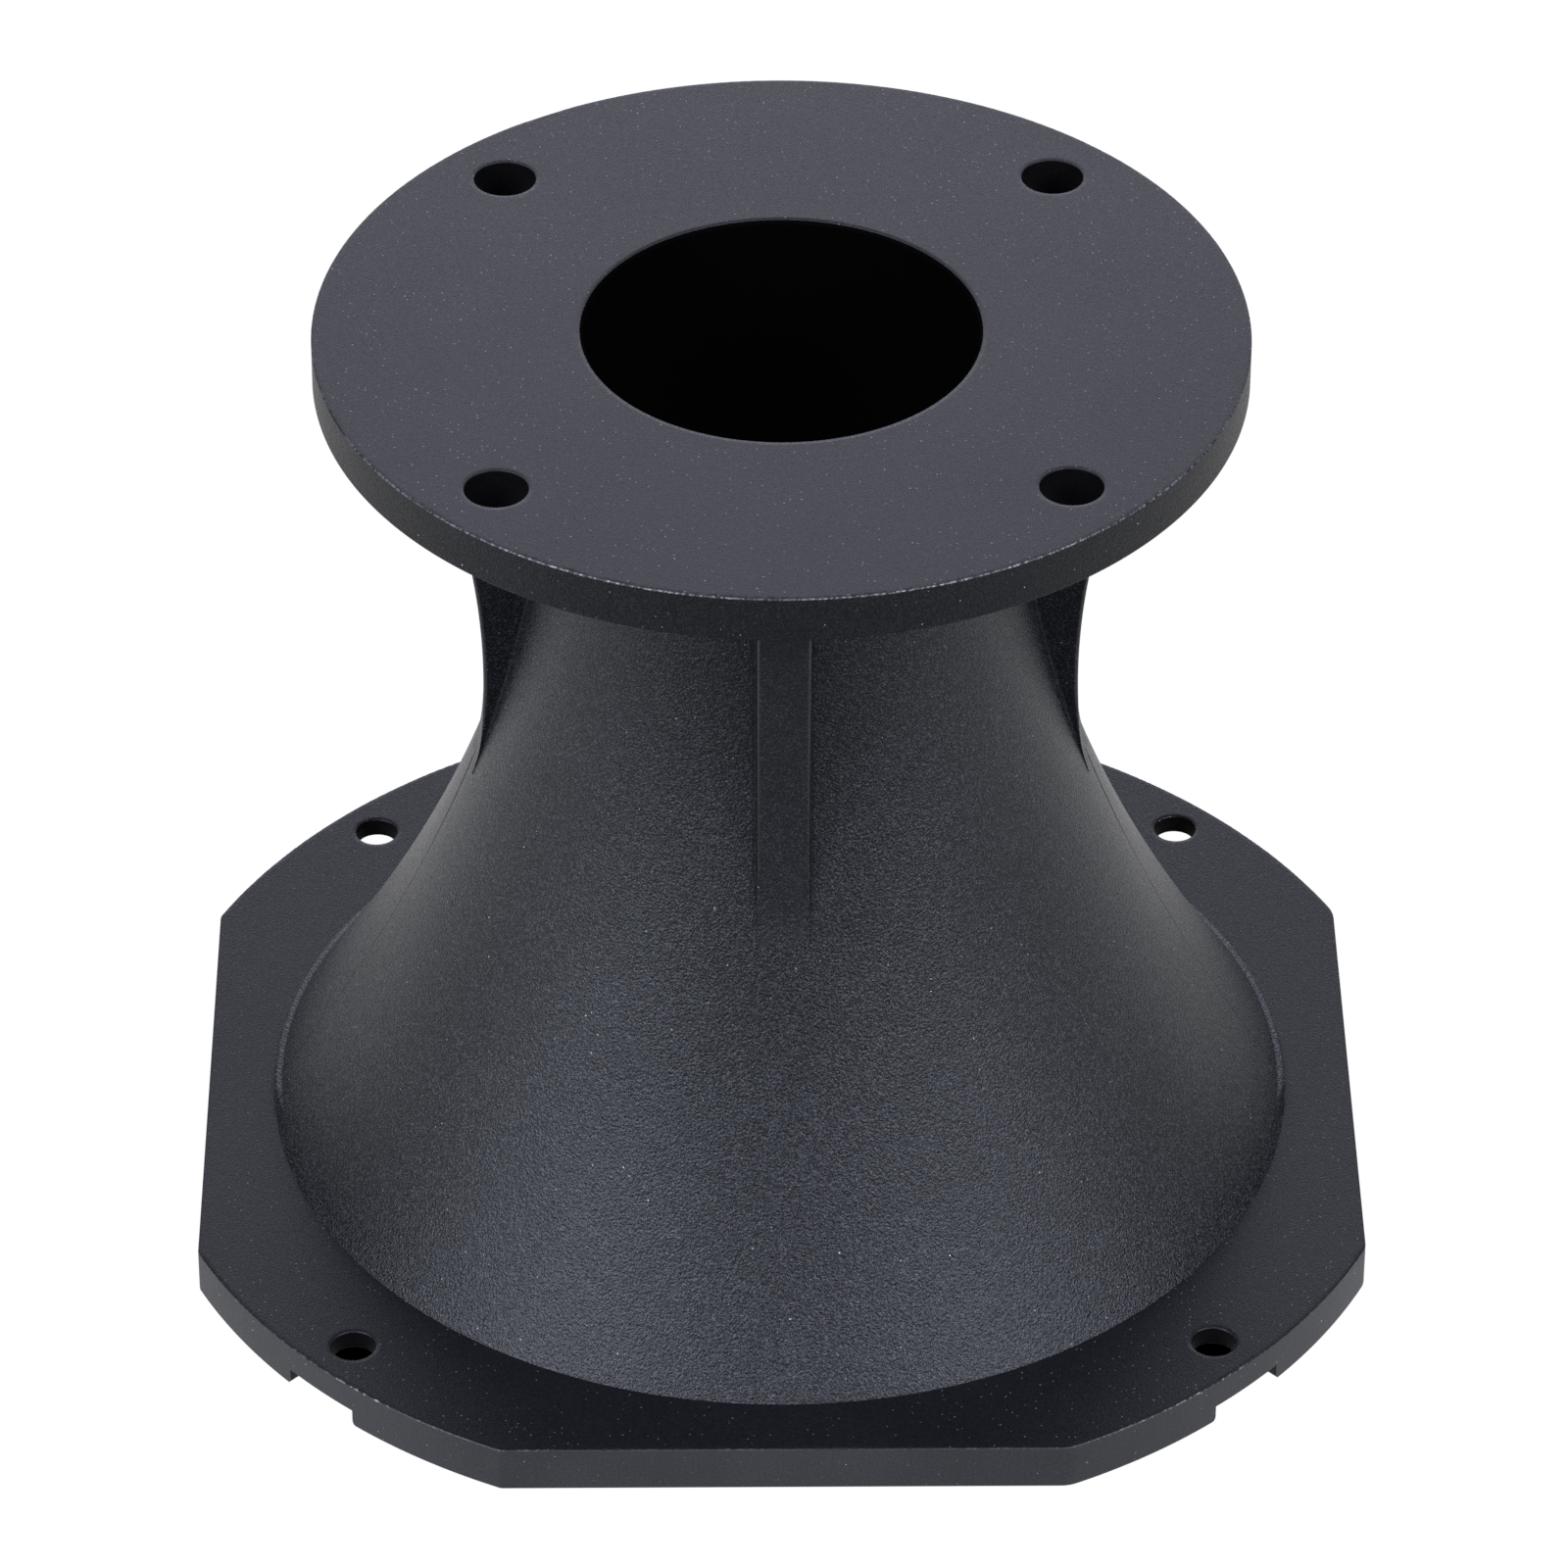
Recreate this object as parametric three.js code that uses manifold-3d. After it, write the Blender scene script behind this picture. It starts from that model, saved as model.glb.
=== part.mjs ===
// A four-bolt horn for a 2-inch compression driver, standing on its mouth.
// Millimetres, +Z up. The origin is on the horn's axis, in the plane that the mouth flange rests on.
// The real horn is one casting. Its features are separate solids here, a small gap apart.

import * as THREE from 'three';
import { mergeVertices } from 'three/addons/utils/BufferGeometryUtils.js';
import Module from 'manifold-3d';

const wasm = await Module();
wasm.setup();

// ---------- driving dimensions ----------

const HEIGHT = 128.5;
const GAP = 0.3;
const EDGE_BREAK = 0.5;

const THROAT_FLANGE_RADIUS = 60.2;
const THROAT_FLANGE_THICKNESS = 6.3;
const THROAT_BORE_RADIUS = 25.4;
const DRIVER_BOLT_CIRCLE_RADIUS = 50.8;
const DRIVER_BOLT_HOLE_RADIUS = 4.0;

const MOUTH_FLANGE_RADIUS = 85.8;
const MOUTH_FLANGE_HALF_WIDTH = 77.5;
const MOUTH_FLANGE_THICKNESS = 6.6;
const MOUTH_SCREW_HALF_SPACING = 56.3;
const MOUTH_SCREW_HOLE_RADIUS = 2.8;
const MOUTH_LIP_WIDTH = 2.6;

// The eight corners of the mouth flange are dressed by hand, each to a radius of its own. Each pair
// is one of the four arcs, anticlockwise from right rear, with the corner that comes first given first.
const MOUTH_FLANGE_FILLETS = [[6.0, 3.0], [3.0, 2.0], [2.0, 1.5], [5.0, 4.0]];

const RELIEF_DEPTH = 2.6;
const RELIEF_WIDTH = 11.8;
const RELIEF_EDGE_RADIUS = 1.0;
const SPOT_FACE_RADIUS = 4.6;
const SPOT_FACE_DEPTH = 1.3;

const BELL_NECK_OUTER_RADIUS = 29.8;
const BELL_FOOT_OUTER_RADIUS = 68.6;
const BELL_FOOT_INNER_RADIUS = 64.8;
const BELL_FOOT_RING_HEIGHT = 1.2;

const RIB_THICKNESS = 6.8;
const RIB_WAIST_RADIUS = 39.0;
const RIB_WAIST_HEIGHT = 76.0;
const RIB_EDGE_ARC_RADIUS = 107.0;
const RIB_FOOT_HEIGHT = 66.2;

const TURN_SEGMENTS = 72;
const HOLE_SEGMENTS = 24;
const FLARE_STEPS = 13;
const RIB_EDGE_STEPS = 10;

// ---------- heights that follow from them ----------

const FLANGE_UNDERSIDE = HEIGHT - THROAT_FLANGE_THICKNESS;
const BELL_TOP = FLANGE_UNDERSIDE - GAP;
const BELL_FOOT = MOUTH_FLANGE_THICKNESS + GAP;
const PAD_TOP = RELIEF_DEPTH - GAP;

const CAST_BLACK = { metalness: 0.3, roughness: 0.55 };
const FACE_MATERIAL = new THREE.MeshStandardMaterial({ color: 0x2b2c31, ...CAST_BLACK });
const BELL_MATERIAL = new THREE.MeshStandardMaterial({ color: 0x25262a, ...CAST_BLACK });
const RIB_MATERIAL = new THREE.MeshStandardMaterial({ color: 0x222327, ...CAST_BLACK });

// ---------- from three.js shapes to solids and back ----------

function hasThreeCorners([a, b, c]) {
  return a !== b && b !== c && c !== a;
}

function toSolid(geometry) {
  const bare = geometry.clone();
  bare.deleteAttribute('normal');
  bare.deleteAttribute('uv');
  const merged = mergeVertices(bare, 1e-4);
  const corners = Array.from(merged.index.array);
  const triangles = corners.filter((_, i) => i % 3 === 0).map((_, i) => corners.slice(3 * i, 3 * i + 3));
  return new wasm.Manifold(new wasm.Mesh({
    numProp: 3,
    vertProperties: new Float32Array(merged.attributes.position.array),
    triVerts: new Uint32Array(triangles.filter(hasThreeCorners).flat()),
  }));
}

function toGeometry(solid) {
  const mesh = solid.getMesh();
  const geometry = new THREE.BufferGeometry();
  geometry.setAttribute('position', new THREE.BufferAttribute(mesh.vertProperties, 3));
  geometry.setIndex(new THREE.BufferAttribute(mesh.triVerts, 1));
  return geometry;
}

// A profile of [radius, height] points turned about +Z, given anticlockwise with the axis on its left.
function turned(profile) {
  const points = profile.map(([radius, height]) => new THREE.Vector2(radius, height));
  return toSolid(new THREE.LatheGeometry(points, TURN_SEGMENTS).rotateX(Math.PI / 2));
}

function turnedRing(profile) {
  return turned([...profile, profile[0]]);
}

function turnedCore(outside) {
  const bottom = outside[0][1];
  const top = outside[outside.length - 1][1];
  return turned([[0, bottom], ...outside, [0, top]]);
}

function extruded(outline, bottom, top) {
  const slab = new THREE.ExtrudeGeometry(new THREE.Shape(outline), { depth: top - bottom, bevelEnabled: false });
  return toSolid(slab.translate(0, 0, bottom));
}

function arc(x, y, radius, from, to, steps) {
  return Array.from({ length: steps + 1 }, (_, i) => {
    const angle = from + ((to - from) * i) / steps;
    return new THREE.Vector2(x + radius * Math.cos(angle), y + radius * Math.sin(angle));
  });
}

function levels(bottom, top, steps) {
  return Array.from({ length: steps + 1 }, (_, i) => bottom + ((top - bottom) * i) / steps);
}

function fourHoles(radius, offset, bottom, top) {
  const drill = arc(0, 0, radius, 0, 2 * Math.PI, HOLE_SEGMENTS).slice(0, HOLE_SEGMENTS);
  const hole = extruded(drill, bottom, top);
  return [[1, 1], [-1, 1], [-1, -1], [1, -1]]
    .map(([sx, sy]) => hole.translate([sx * offset, sy * offset, 0]))
    .reduce((all, one) => all.add(one));
}

// ---------- the bell ----------

// Both walls of the flare are parabolas, upright at the neck and widest at the foot.
function flareRadius(neckRadius, footRadius, height) {
  const below = (FLANGE_UNDERSIDE - height) / (FLANGE_UNDERSIDE - MOUTH_FLANGE_THICKNESS);
  return neckRadius + (footRadius - neckRadius) * below ** 2;
}

function outerRadius(height) {
  return flareRadius(BELL_NECK_OUTER_RADIUS, BELL_FOOT_OUTER_RADIUS, height);
}

function innerRadius(height) {
  return flareRadius(THROAT_BORE_RADIUS, BELL_FOOT_INNER_RADIUS, height);
}

function bellShell() {
  const ringTop = BELL_FOOT + BELL_FOOT_RING_HEIGHT;
  const heights = levels(ringTop, BELL_TOP, FLARE_STEPS);
  return turnedRing([
    [innerRadius(BELL_FOOT), BELL_FOOT],
    [BELL_FOOT_OUTER_RADIUS, BELL_FOOT],
    [BELL_FOOT_OUTER_RADIUS, ringTop],
    ...heights.map((height) => [outerRadius(height), height]),
    ...heights.map((height) => [innerRadius(height), height]).reverse(),
  ]);
}

// The bell is divided in the plane of the mould's parting line. Side is -1 in front, 1 behind.
function bellHalf(side) {
  const span = 2 * MOUTH_FLANGE_RADIUS;
  const keep = new THREE.BoxGeometry(span, span, 2 * HEIGHT);
  keep.translate(0, (side * (span + GAP)) / 2, 0);
  return bellShell().intersect(toSolid(keep));
}

// ---------- throat flange ----------

function throatFlange() {
  const disc = turnedRing([
    [THROAT_BORE_RADIUS, FLANGE_UNDERSIDE],
    [THROAT_FLANGE_RADIUS - EDGE_BREAK, FLANGE_UNDERSIDE],
    [THROAT_FLANGE_RADIUS, FLANGE_UNDERSIDE + EDGE_BREAK],
    [THROAT_FLANGE_RADIUS, HEIGHT - EDGE_BREAK],
    [THROAT_FLANGE_RADIUS - EDGE_BREAK, HEIGHT],
    [THROAT_BORE_RADIUS + EDGE_BREAK, HEIGHT],
    [THROAT_BORE_RADIUS, HEIGHT - EDGE_BREAK],
  ]);
  const offset = DRIVER_BOLT_CIRCLE_RADIUS * Math.SQRT1_2;
  return disc.subtract(fourHoles(DRIVER_BOLT_HOLE_RADIUS, offset, FLANGE_UNDERSIDE - 1, HEIGHT + 1));
}

// ---------- ribs ----------

// A rib's free edge is a wide hollow arc, nearest to the axis at its waist.
function ribEdgeRadius(height) {
  const centre = RIB_WAIST_RADIUS + RIB_EDGE_ARC_RADIUS;
  return centre - Math.sqrt(RIB_EDGE_ARC_RADIUS ** 2 - (height - RIB_WAIST_HEIGHT) ** 2);
}

function bellClearance() {
  const heights = levels(BELL_FOOT, BELL_TOP + 1, FLARE_STEPS);
  return turnedCore(heights.map((height) => [outerRadius(height) + GAP, height]));
}

function rib(azimuth) {
  const edge = levels(RIB_FOOT_HEIGHT, BELL_TOP, RIB_EDGE_STEPS);
  const outline = [
    new THREE.Vector2(0, BELL_TOP),
    new THREE.Vector2(0, RIB_FOOT_HEIGHT),
    ...edge.map((height) => new THREE.Vector2(ribEdgeRadius(height), height)),
  ];
  const plate = extruded(outline, -RIB_THICKNESS / 2, RIB_THICKNESS / 2).rotate([90, 0, 0]);
  return plate.rotate([0, 0, azimuth]).subtract(bellClearance());
}

// ---------- mouth flange ----------

// Where a fillet of the given radius touches both the straight side and the round rim.
function filletCentre(fillet) {
  const across = MOUTH_FLANGE_HALF_WIDTH - fillet;
  const along = Math.sqrt((MOUTH_FLANGE_RADIUS - fillet) ** 2 - across ** 2);
  return { across, along, bend: Math.atan2(along, across) };
}

// A circle clipped by a square, with the eight corners where they meet rounded off.
function mouthOutline() {
  const quarter = Math.PI / 2;
  const centre = new THREE.Vector2();
  return MOUTH_FLANGE_FILLETS.flatMap(([firstFillet, lastFillet], turn) => {
    const first = filletCentre(firstFillet);
    const last = filletCentre(lastFillet);
    const corner = [
      ...arc(first.across, first.along, firstFillet, 0, first.bend, 4),
      ...arc(0, 0, MOUTH_FLANGE_RADIUS, first.bend, quarter - last.bend, 10).slice(1, -1),
      ...arc(last.along, last.across, lastFillet, quarter - last.bend, quarter, 4),
    ];
    return corner.map((point) => point.rotateAround(centre, turn * quarter));
  });
}

// The flare carried on through the mouth flange to the resting plane.
function mouthBore() {
  return turnedCore(levels(-1, MOUTH_FLANGE_THICKNESS + 1, 2).map((height) => [innerRadius(height), height]));
}

function mouthFlange() {
  return extruded(mouthOutline(), RELIEF_DEPTH, MOUTH_FLANGE_THICKNESS)
    .subtract(mouthBore())
    .subtract(fourHoles(MOUTH_SCREW_HOLE_RADIUS, MOUTH_SCREW_HALF_SPACING, 0, HEIGHT))
    .subtract(fourHoles(SPOT_FACE_RADIUS, MOUTH_SCREW_HALF_SPACING, 0, RELIEF_DEPTH + SPOT_FACE_DEPTH));
}

const LIP_OUTER_RADIUS = innerRadius(0) + MOUTH_LIP_WIDTH;

function mouthLip() {
  return turnedRing([
    [innerRadius(0), 0],
    [LIP_OUTER_RADIUS, 0],
    [LIP_OUTER_RADIUS, PAD_TOP],
    [innerRadius(PAD_TOP), PAD_TOP],
  ]);
}

// The slot under each screw hole. Its two long edges are rounded where it opens downwards.
function relief(azimuth) {
  const round = RELIEF_EDGE_RADIUS;
  const half = RELIEF_WIDTH / 2;
  const right = arc(half + round, round, round, -Math.PI / 2, -Math.PI, 4);
  const left = arc(-half - round, round, round, 0, -Math.PI / 2, 4);
  const section = [
    new THREE.Vector2(half + round, -1),
    ...right,
    new THREE.Vector2(half, MOUTH_FLANGE_THICKNESS),
    new THREE.Vector2(-half, MOUTH_FLANGE_THICKNESS),
    ...left,
    new THREE.Vector2(-half - round, -1),
  ];
  const slot = extruded(section, 0, 2 * MOUTH_FLANGE_RADIUS);
  return slot.rotate([90, 0, 0]).rotate([0, 0, azimuth + 90]);
}

// One seating pad fills the quarter between two reliefs, outside the mouth lip.
function seatPad(azimuth) {
  const reach = 2 * MOUTH_FLANGE_RADIUS;
  const quarter = [[0, 0], [reach, -reach], [reach, reach]].map(([x, y]) => new THREE.Vector2(x, y));
  const inside = LIP_OUTER_RADIUS + GAP;
  return extruded(mouthOutline(), 0, PAD_TOP)
    .intersect(extruded(quarter, -1, HEIGHT).rotate([0, 0, azimuth]))
    .subtract(turnedCore([[inside, -1], [inside, HEIGHT]]))
    .subtract(relief(azimuth - 45))
    .subtract(relief(azimuth + 45));
}

// ---------- the assembly ----------

const horn = new THREE.Group();

function place(name, solid, material) {
  const mesh = new THREE.Mesh(toGeometry(solid), material);
  mesh.name = name;
  horn.add(mesh);
}

const SIDES = { right: 0, rear: 90, left: 180, front: 270 };

place('throat_flange', throatFlange(), FACE_MATERIAL);
place('bell_front', bellHalf(-1), BELL_MATERIAL);
place('bell_rear', bellHalf(1), BELL_MATERIAL);
place('mouth_flange', mouthFlange(), FACE_MATERIAL);
place('mouth_lip', mouthLip(), FACE_MATERIAL);
for (const [side, azimuth] of Object.entries(SIDES)) {
  place(`rib_${side}`, rib(azimuth), RIB_MATERIAL);
  place(`seat_pad_${side}`, seatPad(azimuth), FACE_MATERIAL);
}

export default horn;
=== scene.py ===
# A black cast horn for a four-bolt compression driver, standing on its mouth.
# Lengths in the shape code are millimetres. They become metres when a mesh is made.

import math

import bmesh
import bpy
import numpy as np
from mathutils import Matrix
from mathutils import Vector
from mathutils.geometry import tessellate_polygon


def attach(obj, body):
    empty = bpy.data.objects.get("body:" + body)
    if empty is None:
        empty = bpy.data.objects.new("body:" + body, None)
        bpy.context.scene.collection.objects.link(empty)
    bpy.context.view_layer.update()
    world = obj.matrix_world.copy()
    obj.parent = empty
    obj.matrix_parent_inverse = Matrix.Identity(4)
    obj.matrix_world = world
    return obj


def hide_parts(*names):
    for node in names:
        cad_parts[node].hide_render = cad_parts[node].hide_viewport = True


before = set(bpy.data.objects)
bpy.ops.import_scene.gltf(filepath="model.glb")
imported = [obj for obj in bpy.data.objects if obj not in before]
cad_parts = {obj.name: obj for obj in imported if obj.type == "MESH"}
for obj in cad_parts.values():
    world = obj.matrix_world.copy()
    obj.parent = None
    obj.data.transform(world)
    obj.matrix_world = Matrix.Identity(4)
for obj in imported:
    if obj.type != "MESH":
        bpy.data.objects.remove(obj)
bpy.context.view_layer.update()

MM = 0.001

# ---------- sizes, from the CAD source ----------

HEIGHT = 128.5
UNDERSIDE = 122.2
THROAT_R = 60.2
BORE_R = 25.4
BOLT_HOLE_R = 4.0
BOLT_OFFSET = 50.8 * math.sqrt(0.5)

PLATE_TOP = 6.6
PLATE_HALF = 77.5
PLATE_R = 85.8
SCREW_OFFSET = 56.3
SCREW_HOLE_R = 2.8
SPOT_R = 4.6
SPOT_DEPTH = 1.3
RELIEF_DEPTH = 2.6
RELIEF_HALF = 5.9
RELIEF_ROUND = 1.0
FILLETS = [(6.0, 3.0), (3.0, 2.0), (2.0, 1.5), (5.0, 4.0)]

NECK_R = 29.8
FOOT_R = 68.6
FOOT_INNER_R = 64.8
LIP_WIDTH = 2.6
LIP_ROUND = 0.7

RIB_HALF = 3.4
RIB_WAIST_R = 39.0
RIB_WAIST_Z = 76.0
RIB_ARC_R = 107.0
RIB_FOOT_Z = 60.5
RIB_FILLET = 1.6

TOP_EDGE_ROUND = 0.24
EDGE_STEPS = 6
HOLE_COLLAR = 0.6
NECK_FILLET = 2.2

CORNERS = [(1, 1), (-1, 1), (-1, -1), (1, -1)]
SIDES = {"right": 0.0, "rear": math.pi / 2, "left": math.pi, "front": -math.pi / 2}
QUARTER_TURNS = [(1, 0), (0, 1), (-1, 0), (0, -1)]

random = np.random.default_rng(4127)


# ---------- small maths ----------

def smooth(low, high, x):
    t = np.clip((np.asarray(x, float) - low) / (high - low), 0, 1)
    return t * t * (3 - 2 * t)


def flare(neck, foot, z):
    return neck + (foot - neck) * ((UNDERSIDE - z) / (UNDERSIDE - PLATE_TOP)) ** 2


def outer_r(z):
    return flare(NECK_R, FOOT_R, z)


def inner_r(z):
    return flare(BORE_R, FOOT_INNER_R, z)


def rib_r(z):
    reach = RIB_WAIST_R + RIB_ARC_R
    return reach - math.sqrt(RIB_ARC_R**2 - (z - RIB_WAIST_Z) ** 2)


def wander(count, waves, falloff=1.0):
    """A closed line of count random values, smooth over count / waves of them, about -1 to 1."""
    turn = np.linspace(0, 2 * math.pi, count, endpoint=False)
    line = np.zeros(count)
    size = 0.0
    for wave in range(1, waves + 1):
        gain = wave**-falloff
        phase = random.uniform(0, 2 * math.pi)
        line += gain * random.normal() * np.sin(wave * turn + phase)
        size += gain**2
    return line / math.sqrt(size)


def around(turn, degrees, width):
    """1 at one angle and 0 a few widths to either side. Turn is in radians, the others in degrees."""
    away = (np.degrees(turn) - degrees + 180) % 360 - 180
    return np.exp(-((away / width) ** 2))


def ring(radius, turn, z):
    """Points round the axis. Radius and height are one number each, or one for every angle."""
    return np.stack([radius * np.cos(turn), radius * np.sin(turn), np.broadcast_to(z, len(turn))], 1)


# ---------- meshes ----------

class Skin:
    """Points, faces and a wear value at each point, gathered loop by loop."""

    def __init__(self):
        self.points = []
        self.faces = []
        self.wear = []

    def loop(self, points, wear=0.0):
        first = len(self.points)
        self.points.extend([tuple(p) for p in points])
        self.wear.extend(np.broadcast_to(wear, len(points)).tolist())
        return list(range(first, first + len(points)))

    def wall(self, low, high, closed=True):
        count = len(low)
        for i in range(count if closed else count - 1):
            j = (i + 1) % count
            self.faces.append((low[i], low[j], high[j], high[i]))

    def flat(self, *loops):
        """Fills the first of these level loops and leaves the others open in it."""
        outlines = [[Vector((*self.points[i][:2], 0)) for i in one] for one in loops]
        named = [i for one in loops for i in one]
        for triangle in tessellate_polygon(outlines):
            self.faces.append(tuple(named[i] for i in triangle))

    def tube(self, loops, closed=True):
        for low, high in zip(loops, loops[1:]):
            self.wall(low, high, closed)

    def mesh(self, name):
        mesh = bpy.data.meshes.new(name)
        mesh.from_pydata([(x * MM, y * MM, z * MM) for x, y, z in self.points], [], self.faces)
        worn = mesh.attributes.new("wear", "FLOAT", "POINT")
        worn.data.foreach_set("value", np.array(self.wear, np.float32))
        return tidy(mesh)


def tidy(mesh):
    """Joins doubled points, turns the faces outwards and marks the sharp edges."""
    cleaned = bmesh.new()
    cleaned.from_mesh(mesh)
    bmesh.ops.remove_doubles(cleaned, verts=cleaned.verts, dist=1e-7)
    bmesh.ops.recalc_face_normals(cleaned, faces=cleaned.faces)
    cleaned.to_mesh(mesh)
    cleaned.free()
    mesh.shade_smooth()
    mesh.set_sharp_from_angle(angle=math.radians(48))
    return mesh


def piece(name, mesh, material, slot, *nodes, more=()):
    """More is a list of (material, test) for the faces that have another finish."""
    mesh.materials.clear()
    mesh.materials.append(material)
    for index, (other, test) in enumerate(more, 1):
        mesh.materials.append(other)
        paint(mesh, index, test)
    obj = bpy.data.objects.new(name, mesh)
    bpy.context.scene.collection.objects.link(obj)
    soften = obj.modifiers.new("face_normals", "WEIGHTED_NORMAL")
    soften.mode = "FACE_AREA"
    soften.keep_sharp = True
    soften.weight = 60
    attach(obj, "root")
    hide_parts(*nodes)


def air_passage(x, y, z, normal):
    r = math.hypot(x, y)
    return normal.x * x + normal.y * y < -0.3 * r and r < inner_r(z) + 0.3


def throat_rim(x, y, z, normal):
    return math.hypot(x, y) > THROAT_R - 0.1 and abs(normal.z) < 0.6


def bolt_hole(x, y, z, normal):
    from_axis = math.hypot(abs(x) - BOLT_OFFSET, abs(y) - BOLT_OFFSET)
    return from_axis < BOLT_HOLE_R + 0.05 and abs(normal.z) < 0.6


def screw_hole(x, y, z, normal):
    from_axis = math.hypot(abs(x) - SCREW_OFFSET, abs(y) - SCREW_OFFSET)
    return from_axis < SPOT_R + 0.15 and z < PLATE_TOP - 0.2


def rib_edge(x, y, z, normal):
    r = math.hypot(x, y)
    return min(abs(x), abs(y)) < RIB_HALF - 0.02 and normal.x * x + normal.y * y > 0.2 * r


def mouth_rim(x, y, z, normal):
    r = math.hypot(x, y)
    return normal.x * x + normal.y * y > 0.5 * r and r > 74 and abs(normal.z) < 0.6


def paint(mesh, index, test):
    """Gives another of the mesh's materials to the faces that pass the test."""
    for face in mesh.polygons:
        if test(*(face.center / MM), face.normal):
            face.material_index = index


def circle(radius, z, count, x=0.0, y=0.0):
    turn = np.linspace(0, 2 * math.pi, count, endpoint=False)
    return np.stack([x + radius * np.cos(turn), y + radius * np.sin(turn), np.full(count, z)], 1)


def rounded(low, high, bottom_round, top_round):
    """(inset, height) down the edge of a plate, from its bottom face round to its top face."""
    quarter = np.linspace(0, math.pi / 2, EDGE_STEPS)
    bottom = [(bottom_round * (1 - math.sin(a)), low + bottom_round * (1 - math.cos(a))) for a in quarter]
    top = [(top_round * (1 - math.cos(a)), high - top_round * (1 - math.sin(a))) for a in quarter]
    return bottom + top


def hole(skin, radius, bottom, top, chamfer, count, x=0.0, y=0.0):
    """The wall of a drilled hole with a broken edge and a flat collar at both ends.

    The collars keep the shading of the broken edge off the face. Returns the bottom and top loops.
    """
    steps = [
        (radius + chamfer + HOLE_COLLAR, bottom),
        (radius + chamfer, bottom),
        (radius + 0.3 * chamfer, bottom + 0.3 * chamfer),
        (radius, bottom + chamfer),
        (radius, (bottom + top) / 2),
        (radius, top - chamfer),
        (radius + 0.3 * chamfer, top - 0.3 * chamfer),
        (radius + chamfer, top),
        (radius + chamfer + HOLE_COLLAR, top),
    ]
    loops = [skin.loop(circle(r, z, count, x, y)) for r, z in steps]
    skin.tube(loops)
    return loops[0], loops[-1]


# ---------- the throat flange ----------

def throat_flange():
    count = 1440
    turn = np.linspace(0, 2 * math.pi, count, endpoint=False)
    skin = Skin()
    # The top edge was knocked and rubbed after it was coated, more at the front than at the back.
    front = 0.45 + 0.55 * smooth(0.1, -0.7, np.sin(turn))
    chatter = random.normal(size=count) * 0.016 + wander(count, 300, 0.1) * 0.016
    scuff = smooth(-0.6, 1.0, wander(count, 700, 0.0) + 0.35)
    scuff = scuff * smooth(-1.6, 0.6, wander(count, 40, 0.2))
    nick = around(turn, 282.5, 0.55)
    chip = around(turn, 121.0, 2.2)
    loops = []
    profile = rounded(UNDERSIDE, HEIGHT, 0.3, TOP_EDGE_ROUND)
    first_worn = len(profile) - EDGE_STEPS
    for i, (inset, z) in enumerate(profile):
        share = math.sin(math.pi * (i - first_worn) / (EDGE_STEPS - 1)) if i >= first_worn else 0.0
        r = THROAT_R - inset - 0.02 + wander(count, 12) * 0.01
        r = r + share * front * chatter - 0.30 * share * nick
        r = r - 0.35 * share * chip
        height = z + share * front * np.roll(chatter, 7) * 0.6 - 0.25 * share * nick
        wear = 0.55 * share * front * scuff
        loops.append(skin.loop(ring(np.minimum(r, THROAT_R), turn, np.minimum(height, HEIGHT)), wear))
    loops.insert(0, skin.loop(circle(THROAT_R - 0.8, UNDERSIDE, count)))
    loops.append(skin.loop(circle(THROAT_R - 0.8, HEIGHT, count)))
    skin.tube(loops)
    bore_steps = [
        (BORE_R, UNDERSIDE),
        (BORE_R, (UNDERSIDE + HEIGHT) / 2),
        (BORE_R, HEIGHT - 0.55),
        (BORE_R + 0.08, HEIGHT - 0.42),
        (BORE_R + 0.42, HEIGHT - 0.08),
        (BORE_R + 0.5, HEIGHT),
        (BORE_R + 0.5 + HOLE_COLLAR, HEIGHT),
    ]
    bore = [skin.loop(circle(r, z, 288)) for r, z in bore_steps]
    skin.tube(bore)
    holes = [
        hole(skin, BOLT_HOLE_R, UNDERSIDE, HEIGHT, 0.22, 72, sx * BOLT_OFFSET, sy * BOLT_OFFSET)
        for sx, sy in CORNERS
    ]
    skin.flat(loops[0], bore[0], *[h[0] for h in holes])
    skin.flat(loops[-1], bore[-1], *[h[1] for h in holes])
    return skin.mesh("throat_flange_casting")


# ---------- the bell ----------

# The bead round the foot, as (height, radius) from the plate up to the flare.
FOOT_BEAD = [
    (6.6, 68.6),
    (7.7, 68.6),
    (7.86, 68.54),
    (7.97, 68.4),
    (8.05, 68.15),
    (8.1, 67.85),
    (8.16, 67.55),
    (8.24, 67.46),
]
FOOT_HEIGHTS = [6.6, 7.0, 7.4, 7.7, 7.86, 7.97, 8.05, 8.1, 8.16, 8.24, 8.4, 8.7, 9.2, 10.0]
NECK_DROPS = [4.0, 3.2, 2.4, 1.8, 1.2, 0.8, 0.4, 0.0]


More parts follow.
